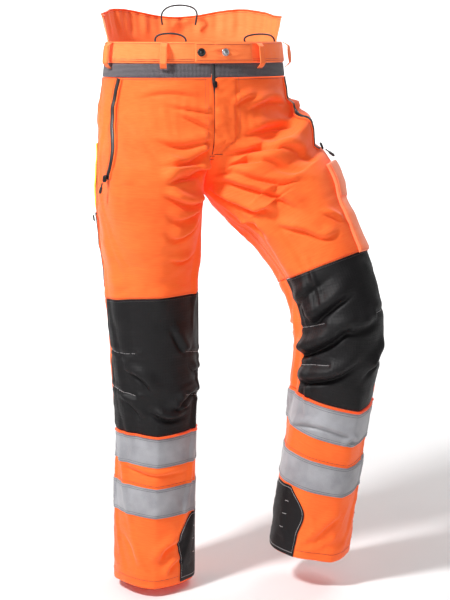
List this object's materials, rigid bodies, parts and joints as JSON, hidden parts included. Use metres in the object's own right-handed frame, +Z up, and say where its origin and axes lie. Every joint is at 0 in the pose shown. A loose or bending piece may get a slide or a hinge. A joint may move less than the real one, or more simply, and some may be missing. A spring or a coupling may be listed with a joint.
{
  "type": "chainsaw protective trousers",
  "caption": "High-visibility chainsaw trousers with cut pads, reflective leg bands, raised kidney panel, zipped pockets and bending knees.",
  "frame": {"origin": "centre of the waist opening at the waistband's top edge", "axes": "+Z up, the wearer faces -Y, the wearer's right is -X"},
  "size_m": [0.5271, 0.3711, 1.0955],
  "materials": {
    "orange_fabric": "woven high-visibility polyester, matt with a faint sheen",
    "black_fabric": "heavy ripstop, matt",
    "stretch_mesh": "coarse knitted mesh, matt",
    "zip_tape": "coil zip with a sealed, slightly glossy cover",
    "slider": "painted metal slider with a moulded grip",
    "reflective_tape": "glass-bead retro-reflective, satin",
    "pocket_lining": "thin knitted lining",
    "cut_fibre": "layers of long loose fibre",
    "snap_black": "glossy cap",
    "button_metal": "bright metal",
    "brace_cord": "braided elastic cord",
    "yellow_fabric": "fluorescent polyester"
  },
  "bodies": {
    "trousers": {"waistband_right": "orange_fabric", "front_panel_right": "orange_fabric", "back_panel_right": "orange_fabric", "knee_back_right": "orange_fabric", "stretch_band_right": "stretch_mesh", "knee_panel_right": "black_fabric", "pocket_zip_right": "zip_tape", "vent_zip_right": "zip_tape", "pocket_bag_right": "pocket_lining", "cut_pad_right": "cut_fibre", "waistband_left": "orange_fabric", "front_panel_left": "orange_fabric", "back_panel_left": "orange_fabric", "knee_back_left": "orange_fabric", "stretch_band_left": "stretch_mesh", "knee_panel_left": "black_fabric", "pocket_zip_left": "zip_tape", "vent_zip_left": "zip_tape", "pocket_bag_left": "pocket_lining", "cut_pad_left": "cut_fibre", "kidney_panel": "orange_fabric", "fly_placket": "orange_fabric", "cargo_pocket": "orange_fabric", "belt_loop_1": "orange_fabric", "belt_loop_2": "orange_fabric", "belt_loop_3": "orange_fabric", "belt_loop_4": "orange_fabric", "belt_loop_5": "orange_fabric", "belt_loop_6": "orange_fabric", "belt_loop_7": "orange_fabric", "fly_zip": "zip_tape", "shank_button": "button_metal", "snap_stud": "button_metal", "brace_loop_front_right": "brace_cord", "brace_loop_front_left": "brace_cord", "brace_loop_back": "brace_cord", "first_aid_pouch": "yellow_fabric"},
    "shin_right": {"lower_leg_right": "orange_fabric", "reflective_tape_upper_right": "reflective_tape", "reflective_tape_lower_right": "reflective_tape", "ankle_patch_right": "black_fabric"},
    "shin_left": {"lower_leg_left": "orange_fabric", "reflective_tape_upper_left": "reflective_tape", "reflective_tape_lower_left": "reflective_tape", "ankle_patch_left": "black_fabric"},
    "waist_tab": {"waist_tab": "orange_fabric", "snap_cap": "snap_black"},
    "cargo_flap": {"cargo_flap": "orange_fabric"},
    "fly_slider": {"fly_slider": "slider"},
    "pocket_slider_right": {"pocket_slider_right": "slider"},
    "pocket_slider_left": {"pocket_slider_left": "slider"},
    "pocket_pull_right": {"pocket_pull_right": "slider"},
    "pocket_pull_left": {"pocket_pull_left": "slider"},
    "vent_slider_right": {"vent_slider_right": "slider"},
    "vent_slider_left": {"vent_slider_left": "slider"}
  },
  "joints": [
    {"name": "knee_right", "type": "hinge", "parent": "trousers", "child": "shin_right", "pos_m": [-0.085, -0.012, -0.601], "axis": [0.9508, -0.3089, 0.0237], "range_deg": [0, 95], "deforming": ["knee_panel_right", "knee_back_right", "cut_pad_right"]},
    {"name": "knee_left", "type": "hinge", "parent": "trousers", "child": "shin_left", "pos_m": [0.238, -0.152, -0.52], "axis": [0.9892, 0.139, 0.0469], "range_deg": [-40, 55], "deforming": ["knee_panel_left", "knee_back_left", "cut_pad_left"]},
    {"name": "waist_tab_swing", "type": "hinge", "parent": "trousers", "child": "waist_tab", "pos_m": [0.0748, -0.1065, -0.0188], "axis": [0, 0, 1], "range_deg": [0, 120], "deforming": ["waist_tab"]},
    {"name": "cargo_flap_lift", "type": "hinge", "parent": "trousers", "child": "cargo_flap", "pos_m": [0.2604, -0.0707, -0.2237], "axis": [-0.1977, -0.9457, 0.2581], "range_deg": [0, 120], "deforming": ["cargo_flap"]},
    {"name": "fly_zip_travel", "type": "hinge", "parent": "trousers", "child": "fly_slider", "pos_m": [0, 0.3516, -0.1206], "axis": [1, 0, 0], "range_deg": [0, 11.6]},
    {"name": "pocket_zip_right_travel", "type": "hinge", "parent": "trousers", "child": "pocket_slider_right", "pos_m": [-1.8028, -2.2652, 0.5418], "axis": [0.7999, -0.5995, -0.0296], "range_deg": [0, 3.5]},
    {"name": "pocket_pull_right_swing", "type": "hinge", "parent": "pocket_slider_right", "child": "pocket_pull_right", "pos_m": [-0.2039, -0.0873, -0.2501], "axis": [-0.2324, 0.8959, 0.3786], "range_deg": [0, 140]},
    {"name": "vent_zip_right_travel", "type": "hinge", "parent": "trousers", "child": "vent_slider_right", "pos_m": [-0.2632, -0.2335, -0.4245], "axis": [-0.9485, 0.3059, -0.0818], "range_deg": [0, 28.3]},
    {"name": "pocket_zip_left_travel", "type": "hinge", "parent": "trousers", "child": "pocket_slider_left", "pos_m": [0.2747, -0.3405, -0.177], "axis": [0.8736, 0.2239, 0.432], "range_deg": [0, 12.3]},
    {"name": "pocket_pull_left_swing", "type": "hinge", "parent": "pocket_slider_left", "child": "pocket_pull_left", "pos_m": [0.2281, -0.0943, -0.1993], "axis": [-0.4186, -0.9066, -0.0529], "range_deg": [0, 140]},
    {"name": "vent_zip_left_travel", "type": "hinge", "parent": "trousers", "child": "vent_slider_left", "pos_m": [0.5132, -0.2075, -0.1617], "axis": [-0.6571, -0.7399, 0.1445], "range_deg": [0, 19.4]}
  ]
}
